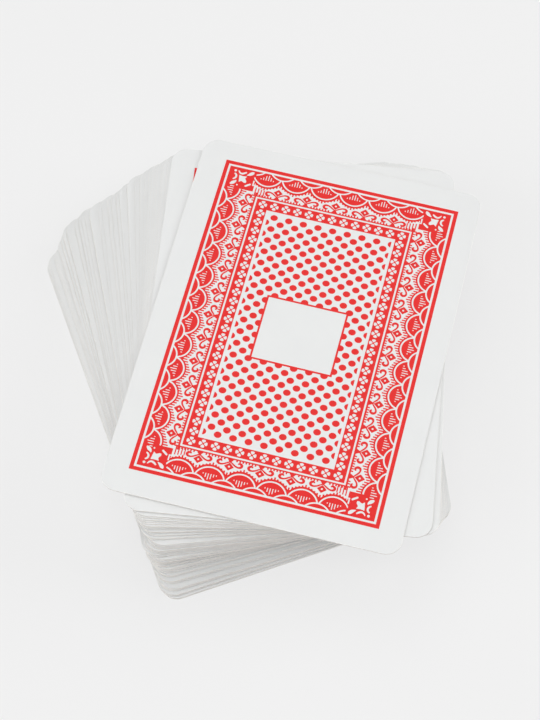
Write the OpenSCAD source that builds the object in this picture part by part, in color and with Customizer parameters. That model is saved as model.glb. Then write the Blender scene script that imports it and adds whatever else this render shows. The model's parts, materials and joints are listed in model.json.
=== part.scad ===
// A deck of playing cards, lying face down as one loose pile.
// The lowest card lies square to the axes with the middle of its face at the origin.
// Every card above it is turned about one upright line and slipped a little, as a hand leaves a twisted pile.

/* [Card] */
// Width of a card, poker size
card_w = 63; // [56:0.5:70]
// Length of a card
card_l = 88; // [80:0.5:100]
// Radius of the die-cut corners
corner_r = 3.4; // [2:0.1:6]
// Thickness of the card stock
card_t = 0.3; // [0.24:0.01:0.4]

/* [Pile] */
// Air between two cards of one packet
card_gap = 0.05; // [0.02:0.01:0.2]
// Further air under each packet
packet_gap = 0.1; // [0:0.01:0.5]
// Distance from a card's middle to the line that the pile is twisted about, towards the near edge
swivel_y = 27.4; // [0:0.2:40]
// Most that a single card strays from its packet's turn, in degrees
stray_turn = 0.1; // [0:0.05:1]
// Most that a single card strays from its packet's slip, each way
stray_slip = 0.1; // [0:0.05:1]

/* [Hidden] */
// Cards in each packet that slipped as one, from the lowest packet up
packet_cards = [2, 2, 3, 3, 2, 2, 3, 2, 3, 1, 1, 5, 1, 1, 2, 2, 2, 2, 2, 1, 2, 1, 7, 1, 1];
// Clockwise turn of each packet's lowest card against the lowest card of all, in degrees
packet_turn = [0, 0.6, 1.6, 2.6, 3.3, 4, 4.8, 6.4, 7.5, 8, 8.6, 8.9, 11.2,
    12, 12.4, 12.9, 13.4, 13.8, 16.1, 17.2, 18.4, 19.5, 20.3, 25.5, 33.9];
// Further turn from each card of a packet to the next one up, in degrees
packet_fan = [0.1, 0.1, 0.15, 0.05, 0.05, 0.05, 0.05, 0.2, 0.05, 0, 0, 0.02, 0,
    0, 0.05, 0.05, 0.05, 0.05, 0.1, 0, 0.05, 0, 0.6, 0, 0];
// Slip of each packet to the right
packet_slip_x = [0, -0.2, 0.3, 0.4, 0.6, 0.5, 0.4, 0.4, 0.3, 0.4, 0.5, 1, 0.4,
    0.3, 1, 1.3, 1.8, 2.1, 1.4, 1.8, 1.6, 1.4, 1.1, 0.2, -3.3];
// Slip of each packet away from the near edge
packet_slip_y = [0, 0.2, 0.6, 1.4, 2, 2.5, 2.2, 1.9, 1.7, 1.4, 1.1, 0.4, 0.1,
    0, -0.3, -0.6, -0.7, -0.7, -0.4, -0.5, -0.5, -0.5, -0.8, -0.4, 0.7];

SUITS = ["clubs", "diamonds", "hearts", "spades"];
RANKS = ["ace", "two", "three", "four", "five", "six", "seven", "eight", "nine", "ten", "jack", "queen", "king"];
JOKERS = ["red_joker", "black_joker"];
// The cards' names, from the lowest card up
NODES = concat(JOKERS, [for (suit = SUITS) for (rank = RANKS) str(rank, "_of_", suit)]);

card_count = len(NODES);
top_packet = len(packet_cards) - 1;
// Strays for each card, as shares of the most that it strays
turn_seed = 5;
slip_x_seed = 11;
slip_y_seed = 23;
turn_share = rands(0, 1, card_count, turn_seed);
slip_x_share = rands(-1, 1, card_count, slip_x_seed);
slip_y_share = rands(-1, 1, card_count, slip_y_seed);
card_white = "#e9e9e8";
corner_facets = 64;

// Packet that holds card i, counted from the lowest card, 0
function packet_of(i, packet = 0) =
    i < packet_cards[packet] || packet == top_packet ? packet : packet_of(i - packet_cards[packet], packet + 1);

// Lowest card of a packet
function first_of(packet) = packet == 0 ? 0 : first_of(packet - 1) + packet_cards[packet - 1];

// A packet of one card lies where its packet does, and so does the lowest card of all
function strays(i) = i > 0 && packet_cards[packet_of(i)] > 1 ? 1 : 0;

// Clockwise turn of card i against the lowest card
function turn_of(i) =
    packet_turn[packet_of(i)]
    + (i - first_of(packet_of(i))) * packet_fan[packet_of(i)]
    + strays(i) * turn_share[i] * stray_turn;

// Where card i has slipped to, with its underside's height
function place_of(i) = [
    packet_slip_x[packet_of(i)] + strays(i) * slip_x_share[i] * stray_slip,
    packet_slip_y[packet_of(i)] + strays(i) * slip_y_share[i] * stray_slip,
    i * (card_t + card_gap) + packet_of(i) * packet_gap,
];

// A rectangle with a quarter circle at each corner
module card_outline() {
    square([card_w - 2 * corner_r, card_l], center = true);
    square([card_w, card_l - 2 * corner_r], center = true);
    for (x = [-1, 1])
        for (y = [-1, 1])
            translate([x * (card_w / 2 - corner_r), y * (card_l / 2 - corner_r)])
                circle(r = corner_r, $fn = corner_facets);
}

// Card i where it lies in the pile
module playing_card(i) {
    color(card_white)
        translate(place_of(i))
            translate([0, -swivel_y, 0])
                rotate(-turn_of(i))
                    translate([0, swivel_y, 0])
                        linear_extrude(card_t) card_outline();
}

for (i = [0 : card_count - 1])
    playing_card(i);
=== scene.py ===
import json
import math
from types import SimpleNamespace

import bpy
from mathutils import Matrix, Vector
from mathutils.geometry import delaunay_2d_cdt


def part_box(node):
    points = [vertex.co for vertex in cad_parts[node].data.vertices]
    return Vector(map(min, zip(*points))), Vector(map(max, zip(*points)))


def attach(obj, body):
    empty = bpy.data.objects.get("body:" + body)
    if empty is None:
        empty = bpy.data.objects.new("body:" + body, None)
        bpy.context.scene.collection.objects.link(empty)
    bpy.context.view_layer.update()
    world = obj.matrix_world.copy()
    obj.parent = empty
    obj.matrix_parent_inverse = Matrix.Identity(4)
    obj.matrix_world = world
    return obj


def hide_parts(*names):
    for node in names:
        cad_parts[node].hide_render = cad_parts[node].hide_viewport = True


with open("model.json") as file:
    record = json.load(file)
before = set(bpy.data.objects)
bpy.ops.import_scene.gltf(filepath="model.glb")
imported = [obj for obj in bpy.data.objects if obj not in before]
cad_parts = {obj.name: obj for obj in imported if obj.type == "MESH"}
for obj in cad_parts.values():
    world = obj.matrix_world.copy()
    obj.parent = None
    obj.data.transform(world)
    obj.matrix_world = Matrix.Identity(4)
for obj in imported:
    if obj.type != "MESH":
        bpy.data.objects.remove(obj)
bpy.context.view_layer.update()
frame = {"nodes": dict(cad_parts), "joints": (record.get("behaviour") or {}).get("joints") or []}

# A deck of playing cards, lying face down as one loose, twisted pile.
# Drawings are in millimetres in a card's own frame: x across it, y along it, and z up from its face,
# which lies below.
# Each card has three pieces: its stock, the print on its back and the print on its face.

MM = 0.001
INK = True
BARE = False

# Card sizes, from the lowest card, which lies square to the axes
lowest_low, lowest_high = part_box("red_joker")
CARD_W, CARD_L, CARD_T = (lowest_high - lowest_low) / MM
CORNER_R = 3.4
CORNER_STEPS = 16
EDGE_ROUND = 0.02
EDGE_STEPS = 3
INK_LIFT = 0.004

# Back print: a red rule, a border of scales, a border of flowers, and a dotted field with a bare panel
PRINT_HALF_W = 26.375
PRINT_HALF_L = 38.925
# How far a print lies off its card's middle, across and along, and its turn in degrees.
# Cards cut from the sheet's left and right halves take turns in the pile.
PRINT_REGISTERS = ((0.17, 0.3, 0.0), (0.275, 0.175, -0.5))
RULE_W = 0.84
RULE_GAP = 0.46
BAND_HALF_W = PRINT_HALF_W - RULE_W - RULE_GAP
BAND_HALF_L = PRINT_HALF_L - RULE_W - RULE_GAP
BARE_RULE_W = 0.38
FIELD_HALF_W = 14.5
FIELD_HALF_L = 28.42

# The scale border along a short and a long side. Lengths that go outwards start at the bare rule inside it.
# A row of front scales hangs from the outer edge over a fringe, and a second row covers where they meet.
# Under each meeting point stands a diamond between two scrolls.
SHORT_SIDE = SimpleNamespace(
    inner=31.25,
    outer=BAND_HALF_L,
    reach=18.7,
    pitch=6.55,
    scales=6,
    covers=7,
    scale_r=3.26,
    scale_line=0.32,
    scale_y=6.36,
    cover_y=8.61,
    root_r=3.9,
    ground_y=3.9,
    fringe_low=1.95,
    fringe_high=3.4,
    tick_w=0.34,
    hatch_y=4.6,
    hatch_x=-1.33,
    motif_wide=1.0,
    motif_tall=1.0,
)
LONG_SIDE = SimpleNamespace(
    inner=17.57,
    outer=BAND_HALF_W,
    reach=32.27,
    pitch=5.8,
    scales=12,
    covers=11,
    scale_r=2.9,
    scale_line=0.34,
    scale_y=6.83,
    cover_y=9.18,
    root_r=3.42,
    ground_y=4.73,
    fringe_low=2.43,
    fringe_high=3.83,
    tick_w=0.31,
    hatch_y=5.43,
    hatch_x=-1.52,
    motif_wide=0.9,
    motif_tall=1.22,
)
SCALE_STEPS = 24
COVER_STEPS = 14
# Ticks of the fringe to each scale, and how far a tick runs in under the scale above it
TICKS_TO_SCALE = 10
TICK_LAP = 0.15
# Short bare strokes on each scale, and how far beyond the border's reach the last of them may stand
HATCH_HEIGHTS = (0.3, 0.62, 1.15, 1.38, 0.9, 0.28)
HATCH_PITCH = 0.56
HATCH_W = 0.19
HATCH_OVERRUN = 0.6
# Points of a scroll: x, y and the stroke's width
SCROLL = (
    (0.15, 0.98, 0.26),
    (0.65, 1.3, 0.33),
    (1.15, 1.62, 0.36),
    (1.75, 1.82, 0.38),
    (2.32, 1.74, 0.5),
    (2.57, 1.36, 0.58),
    (2.32, 0.98, 0.54),
    (1.92, 0.92, 0.42),
    (1.7, 1.14, 0.26),
)
DIAMOND = ((0, 1.12), (1.05, 2.05), (0, 2.96), (-1.05, 2.05))
DIAMOND_EYE = (2.04, 0.22)
EYE_STEPS = 8
FOOT = ((-0.78, 0.2), (0.78, 0.2), (0.1, 1.12), (-0.1, 1.12))
BASE_LINE = 0.33
# Ticks that stand on the base line, clear of the border's ends and, in ticks, of each diamond's foot
BASE_TICK = 0.68
BASE_TICK_FOOT = 0.1
BASE_TICK_END = 1.2
BASE_TICK_CLEAR = 1.5

# Flowers, dots and the bare panel
FLOWER_X = 15.65
FLOWER_Y = 29.63
FLOWERS_ACROSS = 13
FLOWERS_ALONG = 27
PETAL = ((0.1, 0.22), (0.4, 0.57), (0.4, 0.79), (0.21, 0.92))
DOT_ROWS = 38
DOTS_IN_ROW = 9
DOT_FIRST_X = 12.39
DOT_FIRST_Y = 26.9
DOT_PITCH_X = 3.296
DOT_HALF = (0.83, 0.75)
DOT_STEPS = 12
DOT_LIMIT_X = 13.87
PANEL_HALF = (8.97, 7.9)
PANEL_RULE = 0.42


def oblong(x0, y0, x1, y1):
    return [(x0, y0), (x1, y0), (x1, y1), (x0, y1)]


def framed(half_w, half_l):
    return oblong(-half_w, -half_l, half_w, half_l)


def oval(x, y, rx, ry, steps):
    angles = [math.tau * i / steps for i in range(steps)]
    return [(x + rx * math.cos(a), y + ry * math.sin(a)) for a in angles]


def smooth(points, steps):
    """Points along a smooth curve through the given ones, whose width is smoothed with them."""
    last = len(points) - 1
    found = []
    for i in range(last):
        four = [points[max(0, min(last, i + k))] for k in (-1, 0, 1, 2)]
        for step in range(steps):
            t = step / steps
            weights = (
                (2 * t * t - t - t**3) / 2,
                (2 - 5 * t * t + 3 * t**3) / 2,
                (t + 4 * t * t - 3 * t**3) / 2,
                (t**3 - t * t) / 2,
            )
            found.append(tuple(sum(w * p[k] for w, p in zip(weights, four)) for k in range(3)))
    return found + [tuple(points[-1])]


def brush(points, steps=3):
    """Outline of a brush stroke through points of x, y and width."""
    path = smooth(points, steps)
    left = []
    right = []
    for i, (x, y, width) in enumerate(path):
        before = path[max(0, i - 1)]
        after = path[min(len(path) - 1, i + 1)]
        ahead = Vector((after[0] - before[0], after[1] - before[1])).normalized()
        left.append((x - ahead.y * width / 2, y + ahead.x * width / 2))
        right.append((x + ahead.y * width / 2, y - ahead.x * width / 2))
    return left + right[::-1]


def hanging_disc(x, y, r, top, steps):
    """The part of a disc that lies below a level line."""
    start = math.asin(max(-1.0, min(1.0, (top - y) / r)))
    sweep = -math.pi - 2 * start
    angles = [start + sweep * i / steps for i in range(steps + 1)]
    return [(x + r * math.cos(a), y + r * math.sin(a)) for a in angles]


def spaced(count, pitch):
    return [(i - (count - 1) / 2) * pitch for i in range(count)]


def tick(x, y0, y1, width):
    return oblong(x - width / 2, y0, x + width / 2, y1)


def scale_border(side):
    """The scale border of one side, in layers of (ink or bare, outline).

    x runs along the side from its middle, and y outwards from the bare rule.
    """
    depth = side.outer - side.inner
    middles = spaced(side.scales, side.pitch)
    meetings = spaced(side.covers, side.pitch)
    half = side.pitch / 2
    step = side.pitch / TICKS_TO_SCALE
    ticks = [x for x in spaced(side.scales * TICKS_TO_SCALE + 1, step) if abs(x) < side.reach + step / 2]
    outer_r = side.scale_r + side.scale_line / 2
    inner_r = side.scale_r - side.scale_line / 2

    fringe = [(INK, hanging_disc(x, side.scale_y, side.root_r, depth, SCALE_STEPS)) for x in middles]
    for x in ticks:
        aside = min(abs(x - middle) for middle in middles)
        low = side.fringe_low + (side.fringe_high - side.fringe_low) * aside / half
        high = side.scale_y - math.sqrt(side.root_r**2 - aside**2)
        fringe.append((INK, tick(x, low, min(high, side.ground_y) + TICK_LAP, side.tick_w)))

    hatch = []
    for x in middles:
        for i, height in enumerate(HATCH_HEIGHTS):
            at = x + side.hatch_x + i * HATCH_PITCH
            if abs(at) < side.reach + HATCH_OVERRUN:
                hatch.append((BARE, tick(at, side.hatch_y, side.hatch_y + height, HATCH_W)))

    motifs = [(INK, oblong(-side.reach, 0, side.reach, BASE_LINE * side.motif_tall))]
    stems = [x for x in meetings if abs(x) < side.reach - side.pitch / 4]
    for x in stems:
        for shape in (FOOT, DIAMOND):
            motifs.append((INK, [(x + a * side.motif_wide, b * side.motif_tall) for a, b in shape]))
        eye_y, eye_r = DIAMOND_EYE
        motifs.append((BARE, oval(x, eye_y * side.motif_tall, eye_r, eye_r, EYE_STEPS)))
        for way in (-side.motif_wide, side.motif_wide):
            motifs.append((INK, brush([(x + way * a, b * side.motif_tall, w) for a, b, w in SCROLL])))
    for x in ticks:
        aside = min(abs(x - stem) for stem in stems)
        if aside > BASE_TICK_CLEAR * step and abs(x) < side.reach - BASE_TICK_END:
            motifs.append((INK, tick(x, BASE_TICK_FOOT, BASE_TICK * side.motif_tall, side.tick_w)))

    return [
        [(BARE, oblong(-side.reach, 0, side.reach, side.ground_y))],
        fringe,
        [(BARE, hanging_disc(x, side.scale_y, outer_r, depth, SCALE_STEPS)) for x in middles],
        [(INK, hanging_disc(x, side.scale_y, inner_r, depth, SCALE_STEPS)) for x in middles],
        hatch,
        [(BARE, hanging_disc(x, side.cover_y, outer_r, depth, COVER_STEPS)) for x in meetings],
        [(INK, hanging_disc(x, side.cover_y, inner_r, depth, COVER_STEPS)) for x in meetings],
        motifs,
    ]


def corner_marks():
    """Bare marks of the border's upper left corner: a star among leaves, hooks and dots."""
    star = [
        (-22.62, 35.75),
        (-21.8, 35.62),
        (-20.85, 35.72),
        (-21.12, 35.1),
        (-20.68, 34.5),
        (-20.72, 34.05),
        (-21.1, 33.98),
        (-21.5, 34.2),
        (-21.85, 34.32),
        (-22.33, 33.92),
        (-22.45, 34.7),
    ]
    hook_across = (
        (-23.0, 36.85, 0.2),
        (-22.65, 36.38, 0.36),
        (-22.15, 36.2, 0.42),
        (-21.65, 36.4, 0.44),
        (-21.15, 36.78, 0.3),
    )
    hook_along = (
        (-23.75, 35.98, 0.3),
        (-23.35, 35.7, 0.4),
        (-23.2, 35.2, 0.42),
        (-23.38, 34.75, 0.4),
        (-23.8, 34.42, 0.25),
    )
    leaf_across = (
        (-20.95, 36.05, 0.1),
        (-20.5, 36.3, 0.5),
        (-20.1, 36.6, 0.76),
        (-19.75, 36.95, 0.66),
        (-19.55, 37.2, 0.15),
    )
    leaf_along = (
        (-24.1, 33.05, 0.25),
        (-23.8, 33.28, 0.65),
        (-23.42, 33.6, 0.76),
        (-23.1, 33.95, 0.5),
        (-22.98, 34.28, 0.15),
    )
    bar = ((-20.75, 33.17, 0.2), (-20.6, 33.27, 0.42), (-19.7, 33.92, 0.42), (-19.55, 34.02, 0.2))
    marks = [brush(stroke) for stroke in (hook_across, hook_along, leaf_across, leaf_along, bar)]
    large_dot = oval(-23.7, 36.7, 0.3, 0.3, 10)
    small_dot = oval(-22.5, 33.12, 0.2, 0.2, 8)
    return [star, large_dot, small_dot] + marks


def corner_layers():
    """The border's upper left corner, over the ends of the two sides."""
    edge = -BAND_HALF_W
    layers = [
        (INK, oblong(edge, 33.05, -19.2, BAND_HALF_L)),
        (INK, oblong(edge, 36.05, -18.9, BAND_HALF_L)),
        (INK, oblong(-22.1, 32.27, -18.7, 33.75)),
        (BARE, oblong(-19.2, 33.72, -18.9, 35.1)),
        (BARE, oblong(-19.2, 33.72, -18.5, 33.98)),
    ]
    layers += [(BARE, mark) for mark in corner_marks()]
    layers += [(INK, tick(-16.2 - 0.64 * i, 31.3, 33.15 + 0.12 * i, 0.26)) for i in range(4)]
    return layers


def flower(x, y):
    """Four petals round a small cross of ground."""
    petal = list(PETAL) + [(-a, b) for a, b in PETAL[::-1]]
    turns = ((1, 0), (0, 1), (-1, 0), (0, -1))
    return [[(x + c * a - s * b, y + s * a + c * b) for a, b in petal] for c, s in turns]


def back_layers():
    """The whole back print as (ink or bare, outline), each over the ones before it."""
    layers = [
        (INK, framed(PRINT_HALF_W, PRINT_HALF_L)),
        (BARE, framed(PRINT_HALF_W - RULE_W, PRINT_HALF_L - RULE_W)),
        (INK, framed(BAND_HALF_W, BAND_HALF_L)),
    ]
    short = scale_border(SHORT_SIDE)
    long = scale_border(LONG_SIDE)
    last = len(short) - 1
    for i, (across, along) in enumerate(zip(short, long)):
        if i == last:
            for mirror_x, mirror_y in ((1, 1), (-1, 1), (-1, -1), (1, -1)):
                for ink, outline in corner_layers():
                    layers.append((ink, [(x * mirror_x, y * mirror_y) for x, y in outline]))
        for way in (1, -1):
            for ink, outline in across:
                layers.append((ink, [(way * x, way * (SHORT_SIDE.inner + y)) for x, y in outline]))
            for ink, outline in along:
                layers.append((ink, [(-way * (LONG_SIDE.inner + y), way * x) for x, y in outline]))
    layers.append((BARE, framed(LONG_SIDE.inner, SHORT_SIDE.inner)))
    layers.append((INK, framed(LONG_SIDE.inner - BARE_RULE_W, SHORT_SIDE.inner - BARE_RULE_W)))
    across = spaced(FLOWERS_ACROSS, 2 * FLOWER_X / (FLOWERS_ACROSS - 1))
    along = spaced(FLOWERS_ALONG, 2 * FLOWER_Y / (FLOWERS_ALONG - 1))
    places = [(x, y) for x in across for y in (-FLOWER_Y, FLOWER_Y)]
    places += [(x, y) for y in along[1:-1] for x in (-FLOWER_X, FLOWER_X)]
    for x, y in places:
        layers += [(BARE, petal) for petal in flower(x, y)]
    layers.append((BARE, framed(FIELD_HALF_W, FIELD_HALF_L)))
    for row, y in enumerate(spaced(DOT_ROWS, 2 * DOT_FIRST_Y / (DOT_ROWS - 1))[::-1]):
        way = 1 if row % 2 == 0 else -1
        for i in range(DOTS_IN_ROW):
            dot = oval(way * (i * DOT_PITCH_X - DOT_FIRST_X), y, *DOT_HALF, DOT_STEPS)
            layers.append((INK, [(max(-DOT_LIMIT_X, min(DOT_LIMIT_X, x)), b) for x, b in dot]))
    layers.append((INK, framed(*PANEL_HALF)))
    layers.append((BARE, framed(PANEL_HALF[0] - PANEL_RULE, PANEL_HALF[1] - PANEL_RULE)))
    return layers


# Face print: standard indices and pips. Court cards have a framed letter and pip, and jokers a star.
INDEX_X = 27.0
INDEX_Y = 36.4
INDEX_TALL = 7.2
INDEX_PIP = 4.6
PIP_X = 11.5
PIP_Y = 29.0
PIP = 9.6
ACE_PIP = 19.0
COURT_HALF = (20.0, 34.5)
COURT_RULE = 0.45
COURT_LETTER = 22.0
COURT_PIP = 11.0
STAR = 26.0
INDEX_STAR = 5.6
# Steps in a curve of the type, and the area under which a triangle of it is only a line
TYPE_STEPS = 12
TYPE_SLIVER = 1e-7
RANK_MARKS = {
    "ace": "A",
    "two": "2",
    "three": "3",
    "four": "4",
    "five": "5",
    "six": "6",
    "seven": "7",
    "eight": "8",
    "nine": "9",
    "ten": "10",
    "jack": "J",
    "queen": "Q",
    "king": "K",
}
SIDES = (-1, 1)
FOUR = [(x, y) for x in SIDES for y in SIDES]
SIX = FOUR + [(x, 0) for x in SIDES]
EIGHT = FOUR + [(x, y / 3) for x in SIDES for y in SIDES]
PIP_PLACES = {
    "two": [(0, 1), (0, -1)],
    "three": [(0, 1), (0, 0), (0, -1)],
    "four": FOUR,
    "five": FOUR + [(0, 0)],
    "six": SIX,
    "seven": SIX + [(0, 0.5)],
    "eight": SIX + [(0, 0.5), (0, -0.5)],
    "nine": EIGHT + [(0, 0)],
    "ten": EIGHT + [(0, 2 / 3), (0, -2 / 3)],
}


def heart(steps=36):
    """A heart about one unit tall, by the usual curve of sines."""
    tall = 30.0
    lift = 2.5
    points = []
    for i in range(steps):
        a = math.tau * i / steps
        x = 16 * math.sin(a) ** 3
        y = 13 * math.cos(a) - 5 * math.cos(2 * a) - 2 * math.cos(3 * a) - math.cos(4 * a) + lift
        points.append((x / tall, y / tall))
    return points


def stem(top):
    """The foot of a spade or club, up to the given height."""
    return [(-0.2, -0.5), (0.2, -0.5), (0.07, -0.3), (0.03, top), (-0.03, top), (-0.07, -0.3)]


def suit_pip(suit):
    """Outlines of a suit's pip, one unit tall."""
    if suit == "hearts":
        return [heart()]
    if suit == "diamonds":
        quarter = [(0.4 * (1 - t) ** 1.15, 0.5 * t**1.15) for t in (0, 0.2, 0.4, 0.6, 0.8)]
        half = quarter + [(-0.4 * (1 - t) ** 1.15, 0.5 * t**1.15) for t in (1, 0.8, 0.6, 0.4, 0.2)]
        return [half + [(-x, -y) for x, y in half]]
    if suit == "spades":
        return [[(x, 0.08 - 0.84 * y) for x, y in heart()], stem(0)]
    leaf_r = 0.235
    middle_r = 0.12
    leaves = [oval(x, y, leaf_r, leaf_r, 24) for x, y in ((0, 0.26), (-0.25, -0.08), (0.25, -0.08))]
    return leaves + [oval(0, 0.05, middle_r, middle_r, 12), stem(0)]


def star_pip():
    """Outline of a five-pointed star, one unit across."""
    corners = 10
    points = []
    for i in range(corners):
        r = 0.5 if i % 2 == 0 else 0.2
        angle = math.pi / 2 + math.tau * i / corners
        points.append((r * math.cos(angle), r * math.sin(angle)))
    return [points]


def letters(words):
    """Triangles of a word in the plain built-in type, one unit tall and centred."""
    type_curve = bpy.data.curves.new("index_type", "FONT")
    type_curve.body = words
    type_curve.resolution_u = TYPE_STEPS
    holder = bpy.data.objects.new("index_type", type_curve)
    bpy.context.scene.collection.objects.link(holder)
    bpy.context.view_layer.update()
    flat = holder.to_mesh()
    flat.calc_loop_triangles()
    whole = [t.vertices for t in flat.loop_triangles if t.area > TYPE_SLIVER]
    triangles = [[tuple(flat.vertices[i].co.xy) for i in corners] for corners in whole]
    holder.to_mesh_clear()
    bpy.data.objects.remove(holder)
    bpy.data.curves.remove(type_curve)
    xs = [x for t in triangles for x, _ in t]
    ys = [y for t in triangles for _, y in t]
    tall = max(ys) - min(ys)
    middle = ((max(xs) + min(xs)) / 2, (max(ys) + min(ys)) / 2)
    return [[((x - middle[0]) / tall, (y - middle[1]) / tall) for x, y in t] for t in triangles]


def put(outlines, x, y, size, turned=False):
    """Layers of ink from outlines one unit tall, put in place and turned about if need be."""
    size = -size if turned else size
    return [(INK, [(x + a * size, y + b * size) for a, b in outline]) for outline in outlines]


def face_layers(card):
    """The face print of a card, drawn as it is seen from below."""
    layers = []
    if card.endswith("joker"):
        star = star_pip()
        layers += put(star, 0, 0, STAR)
        for way in SIDES:
            layers += put(star, -way * INDEX_X, way * INDEX_Y, INDEX_STAR, way < 0)
        return layers
    rank, suit = card.split("_of_")
    pip = suit_pip(suit)
    mark = letters(RANK_MARKS[rank])
    for way in SIDES:
        layers += put(mark, -way * INDEX_X, way * INDEX_Y, INDEX_TALL, way < 0)
        layers += put(pip, -way * INDEX_X, way * (INDEX_Y - INDEX_TALL), INDEX_PIP, way < 0)
    if rank == "ace":
        layers += put(pip, 0, 0, ACE_PIP)
    elif rank in PIP_PLACES:
        for x, y in PIP_PLACES[rank]:
            layers += put(pip, x * PIP_X, y * PIP_Y, PIP, y < 0)
    else:
        layers = [
            (INK, framed(*COURT_HALF)),
            (BARE, framed(COURT_HALF[0] - COURT_RULE, COURT_HALF[1] - COURT_RULE)),
        ] + layers
        for way in SIDES:
            layers += put(mark, 0, way * COURT_HALF[1] / 2, COURT_LETTER, way < 0)
        layers += put(pip, 0, 0, COURT_PIP)
    return layers


# Settings of the cut into triangles: only what lies inside an outline, and how near two points count as one
INSIDE_ONLY = 1
SAME_POINT = 1e-6


def piece_mesh(name, points, faces, finishes):
    """A mesh from millimetres, with a flat map over the card for its baked finish."""
    mesh = bpy.data.meshes.new(name)
    mesh.from_pydata([Vector(p) * MM for p in points], [], faces)
    for finish in finishes:
        mesh.materials.append(finish)
    chart = mesh.uv_layers.new(name="OFBake")
    for loop in mesh.loops:
        x, y, _ = points[loop.vertex_index]
        chart.data[loop.index].uv = (x / CARD_W + 0.5, y / CARD_L + 0.5)
    mesh.update()
    return mesh


def anticlockwise(outline):
    area = sum(a.x * b.y - b.x * a.y for a, b in zip(outline, outline[1:] + outline[:1]))
    return outline if area > 0 else outline[::-1]


def ink_film(name, layers, lay, finish):
    """One flat film of ink, laid by lay: the parts of the drawing whose uppermost layer is ink."""
    points = []
    outlines = []
    for _, outline in layers:
        outlines.append(range(len(points), len(points) + len(outline)))
        points += anticlockwise([Vector(p) for p in outline])
    found = delaunay_2d_cdt(points, [], outlines, INSIDE_ONLY, SAME_POINT, True)
    corners, triangles, sources = found[0], found[2], found[5]
    inked = [t for t, source in zip(triangles, sources) if source and layers[max(source)][0] == INK]
    used = sorted({i for t in inked for i in t})
    place = {i: k for k, i in enumerate(used)}
    laid = [lay @ Vector((*corners[i], 0)) for i in used]
    faces = [[place[i] for i in t] for t in inked]
    if lay.determinant() < 0:
        faces = [t[::-1] for t in faces]
    return piece_mesh(name, laid, faces, [finish])


def card_outline(inset):
    """Points round a card, set in from its cut edge."""
    r = CORNER_R - inset
    points = []
    for quarter, (side_x, side_y) in enumerate(((1, 1), (-1, 1), (-1, -1), (1, -1))):
        x = side_x * (CARD_W / 2 - CORNER_R)
        y = side_y * (CARD_L / 2 - CORNER_R)
        for step in range(CORNER_STEPS + 1):
            angle = (quarter + step / CORNER_STEPS) * math.pi / 2
            points.append((x + r * math.cos(angle), y + r * math.sin(angle)))
    return points


def stock_mesh(coated, raw_edge):
    """A card's stock: two coated sides and a raw cut edge that the die has rounded a little."""
    quarter = [math.pi / 2 * i / EDGE_STEPS for i in range(EDGE_STEPS + 1)]
    rims = [(EDGE_ROUND * (1 - math.sin(a)), EDGE_ROUND * (1 - math.cos(a))) for a in quarter]
    rims += [(inset, CARD_T - z) for inset, z in rims[::-1]]
    points = []
    for inset, z in rims:
        points += [(x, y, z) for x, y in card_outline(inset)]
    around = len(points) // len(rims)
    faces = [list(range(around))[::-1]]
    for ring in range(len(rims) - 1):
        for i in range(around):
            here = ring * around + i
            ahead = ring * around + (i + 1) % around
            faces.append([here, ahead, ahead + around, here + around])
    faces.append(list(range(len(points) - around, len(points))))
    mesh = piece_mesh("card_stock", points, faces, [coated, raw_edge])
    for side in mesh.polygons[1:-1]:
        side.material_index = 1
        side.use_smooth = True
    return mesh


def linear(hex_colour):
    """An sRGB hex colour as linear light."""
    parts = [int(hex_colour[i : i + 2], 16) / 255 for i in (1, 3, 5)]
    return [p / 12.92 if p <= 0.04045 else ((p + 0.055) / 1.055) ** 2.4 for p in parts] + [1.0]


def add_node(tree, kind, settings=None, **links):
    """Adds a node, sets its properties and sockets by name, and links sockets from (node, output) pairs."""
    node = tree.nodes.new(kind)
    for name, value in (settings or {}).items():
        if hasattr(node, name):
            setattr(node, name, value)
        else:
            node.inputs[name].default_value = value
    for name, (source, output) in links.items():
        tree.links.new(source.outputs[output], node.inputs[name.replace("_", " ")])
    return node


def finish_tree(name):
    """A new material with its surface shader and the coordinates of the piece it is on."""
    material = bpy.data.materials.new(name)
    material.use_nodes = True
    tree = material.node_tree
    tree.nodes.clear()
    place = add_node(tree, "ShaderNodeTexCoord")
    shader = add_node(tree, "ShaderNodeBsdfPrincipled")
    add_node(tree, "ShaderNodeOutputMaterial", Surface=(shader, "BSDF"))
    return SimpleNamespace(material=material, tree=tree, place=place, shader=shader)


def per_metre(size_mm):
    """Noise scale that gives features of about this size."""
    return 1 / (size_mm * MM)


# Sockets of the colour mix, which share their names with others of that node
MIX_LIGHT = 6
MIX_DARK = 7
MIX_RESULT = 2
GRAIN_TALL = 0.01


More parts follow.
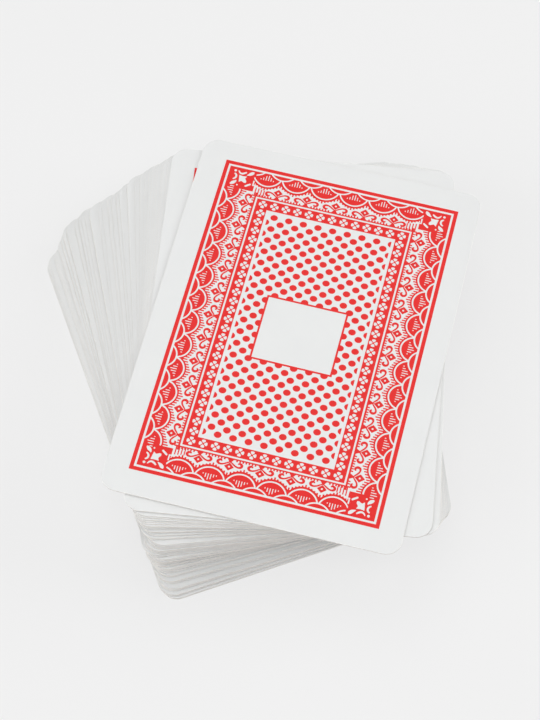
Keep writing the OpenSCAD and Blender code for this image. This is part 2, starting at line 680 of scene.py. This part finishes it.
def mottled(name, light, dark, blot_mm, grain_mm, roughness, spread, ior, bump):
    """A printed or coated surface: two close tones in soft blots, and a grain in gloss and height.

    The grain is drawn coarser than the real one, so that it shows.
    """
    made = finish_tree(name)
    tree = made.tree
    blots = add_node(
        tree,
        "ShaderNodeTexNoise",
        {"Scale": per_metre(blot_mm), "Detail": 3.0, "Roughness": 0.6},
        Vector=(made.place, "Object"),
    )
    tones = add_node(tree, "ShaderNodeMix", {"data_type": "RGBA"}, Factor=(blots, "Fac"))
    tones.inputs[MIX_LIGHT].default_value = linear(light)
    tones.inputs[MIX_DARK].default_value = linear(dark)
    tree.links.new(tones.outputs[MIX_RESULT], made.shader.inputs["Base Color"])
    grain = add_node(
        tree,
        "ShaderNodeTexNoise",
        {"Scale": per_metre(grain_mm), "Detail": 2.0},
        Vector=(made.place, "Object"),
    )
    gloss = add_node(
        tree,
        "ShaderNodeMapRange",
        {"To Min": roughness - spread, "To Max": roughness + spread},
        Value=(grain, "Fac"),
    )
    tree.links.new(gloss.outputs["Result"], made.shader.inputs["Roughness"])
    relief = add_node(
        tree,
        "ShaderNodeBump",
        {"Strength": bump, "Distance": GRAIN_TALL * MM},
        Height=(grain, "Fac"),
    )
    tree.links.new(relief.outputs["Normal"], made.shader.inputs["Normal"])
    made.shader.inputs["IOR"].default_value = ior
    return made.material


# Coated card stock, calendered and varnished: an almost even white, faintly cloudy, with a low, soft sheen
COAT = {"blot_mm": 9.0, "grain_mm": 0.7, "roughness": 0.5, "spread": 0.06, "ior": 1.4, "bump": 0.15}
coated_stock = mottled("coated card stock", "#dbdcdb", "#d5d6d6", **COAT)
# Raw edge of die-cut card: bare paper fibres, duller and warmer than the coated sides
FIBRES = {"blot_mm": 3.0, "grain_mm": 0.3, "roughness": 0.85, "spread": 0.08, "ior": 1.4, "bump": 0.2}
raw_card_edge = mottled("raw cut card edge", "#fbf7f3", "#f2ede8", **FIBRES)
# Red offset ink under a thin varnish: a strong even red, a little uneven where the plate laid less ink
INK_COAT = {"blot_mm": 6.0, "grain_mm": 0.7, "roughness": 0.5, "spread": 0.06, "ior": 1.3, "bump": 0.15}
red_back_ink = mottled("red offset ink", "#da2a28", "#d22524", **INK_COAT)
# Red and black offset ink of the faces: the same even film, a deeper red and a soft black
red_face_ink = mottled("red offset ink of the faces", "#cf1f2c", "#c41a27", **INK_COAT)
black_face_ink = mottled("black offset ink of the faces", "#1f1f21", "#171719", **INK_COAT)

# Turn of each card, clockwise from above, from its joint: a swivel's lower limit squares it with the
# lowest card, and the top card slides along its own length
turns = {}
for joint in frame["joints"]:
    if joint["type"] == "hinge":
        turns[joint["child"]] = -math.radians(joint["range_deg"][0])
    else:
        turns[joint["child"]] = math.atan2(-joint["axis"][0], -joint["axis"][1])

stock = stock_mesh(coated_stock, raw_card_edge)
back_lays = [
    Matrix.Translation((across, along, CARD_T + INK_LIFT)) @ Matrix.Rotation(math.radians(turn), 4, "Z")
    for across, along, turn in PRINT_REGISTERS
]
backs = [ink_film("back_print", back_layers(), lay, red_back_ink) for lay in back_lays]
# Seen from below, a card's left is its right
face_lay = Matrix.Translation((0, 0, -INK_LIFT)) @ Matrix.Diagonal((-1, 1, 1, 1))

for place, card in enumerate(sorted(frame["nodes"], key=lambda node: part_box(node)[0].z)):
    low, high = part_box(card)
    lie = Matrix.Translation(((low.x + high.x) / 2, (low.y + high.y) / 2, low.z))
    lie = lie @ Matrix.Rotation(-turns.get(card, 0.0), 4, "Z")
    red = card.startswith("red") or card.endswith(("hearts", "diamonds"))
    face_ink = red_face_ink if red else black_face_ink
    face = ink_film(card + "_face", face_layers(card), face_lay, face_ink)
    pieces = (
        ("_stock", stock, "card_stock"),
        ("_back_print", backs[place % len(backs)], "back_ink"),
        ("_face_print", face, "face_red_ink" if red else "face_black_ink"),
    )
    for ending, mesh, slot in pieces:
        piece = bpy.data.objects.new(card + ending, mesh)
        piece.matrix_world = lie
        bpy.context.scene.collection.objects.link(piece)
        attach(piece, card)
        if ending == "_stock":
            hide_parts(card)

# Floor: a wide, matt, pale sheet, lit from below so that shadows on it stay faint. It throws no light back
# on the cards, so the edges under the top card stay dark.
FLOOR_HALF = 3000
FLOOR_GLOW = 0.66
floor_mesh = bpy.data.meshes.new("floor")
floor_corners = framed(FLOOR_HALF, FLOOR_HALF)
floor_mesh.from_pydata([(x * MM, y * MM, 0) for x, y in floor_corners], [], [[0, 1, 2, 3]])
SHEET = {"blot_mm": 60.0, "grain_mm": 2.0, "roughness": 0.9, "spread": 0.02, "ior": 1.05, "bump": 0.05}
floor_finish = mottled("lit studio sheet", "#787878", "#767676", **SHEET)
floor_shader = next(node for node in floor_finish.node_tree.nodes if node.type == "BSDF_PRINCIPLED")
floor_shader.inputs["Emission Color"].default_value = linear("#ffffff")
floor_shader.inputs["Emission Strength"].default_value = FLOOR_GLOW
floor_mesh.materials.append(floor_finish)
floor = bpy.data.objects.new("floor", floor_mesh)
floor.visible_diffuse = False
bpy.context.scene.collection.objects.link(floor)

# Far walls of the same pale sheet, which close off low views and neither light nor shade the cards
WALL_TALL = 3000
wall_points = [(x * MM, y * MM, z * MM) for z in (0, WALL_TALL) for x, y in floor_corners]
wall_faces = [[0, 4, 5, 1], [1, 5, 6, 2], [2, 6, 7, 3], [3, 7, 4, 0]]
wall_mesh = bpy.data.meshes.new("far_walls")
wall_mesh.from_pydata(wall_points, [], wall_faces)
wall_mesh.materials.append(floor_finish)
walls = bpy.data.objects.new("far_walls", wall_mesh)
walls.visible_diffuse = False
walls.visible_glossy = False
walls.visible_shadow = False
bpy.context.scene.collection.objects.link(walls)

# Light: a dim white room, and four broad soft lamps: low on the left and right, high behind the pile and
# before it
world = bpy.data.worlds.new("white room")
bpy.context.scene.world = world
world.use_nodes = True
ROOM_LIGHT = 0.38
room = world.node_tree.nodes["Background"]
room.inputs["Color"].default_value = linear("#ffffff")
room.inputs["Strength"].default_value = ROOM_LIGHT

LAMP_SIDE = 600
LAMPS = (
    ("left soft lamp", (-640, -60, 420), 3.0),
    ("far soft lamp", (100, 350, 780), 1.65),
    ("right soft lamp", (680, -80, 240), 3.9),
    ("near soft lamp", (-120, -380, 800), 1.9),
)
for name, place, watts in LAMPS:
    lamp_data = bpy.data.lights.new(name, "AREA")
    lamp_data.shape = "SQUARE"
    lamp_data.size = LAMP_SIDE * MM
    lamp_data.energy = watts
    lamp = bpy.data.objects.new(name, lamp_data)
    lamp.location = Vector(place) * MM
    lamp.rotation_euler = (-lamp.location).to_track_quat("-Z", "Y").to_euler()
    bpy.context.scene.collection.objects.link(lamp)

# Camera: where the photograph was taken from
CAMERA_PLACE = (-67.36, -188.29, 397.65)
CAMERA_AHEAD = (0.1695, 0.42693, -0.88826)
CAMERA_UP = (0.29685, 0.83733, 0.45909)
CAMERA_LENS = 100.35
CAMERA_SENSOR = 36
NEAREST = 10
FARTHEST = 20000
camera_data = bpy.data.cameras.new("camera")
camera_data.lens = CAMERA_LENS
camera_data.sensor_width = CAMERA_SENSOR
camera_data.clip_start = NEAREST * MM
camera_data.clip_end = FARTHEST * MM
camera = bpy.data.objects.new("camera", camera_data)
ahead = Vector(CAMERA_AHEAD).normalized()
right = ahead.cross(Vector(CAMERA_UP)).normalized()
axes = Matrix((right, right.cross(ahead), -ahead)).transposed()
camera.matrix_world = Matrix.Translation(Vector(CAMERA_PLACE) * MM) @ axes.to_4x4()
bpy.context.scene.collection.objects.link(camera)
bpy.context.scene.camera = camera
bpy.context.scene.view_settings.view_transform = "Standard"
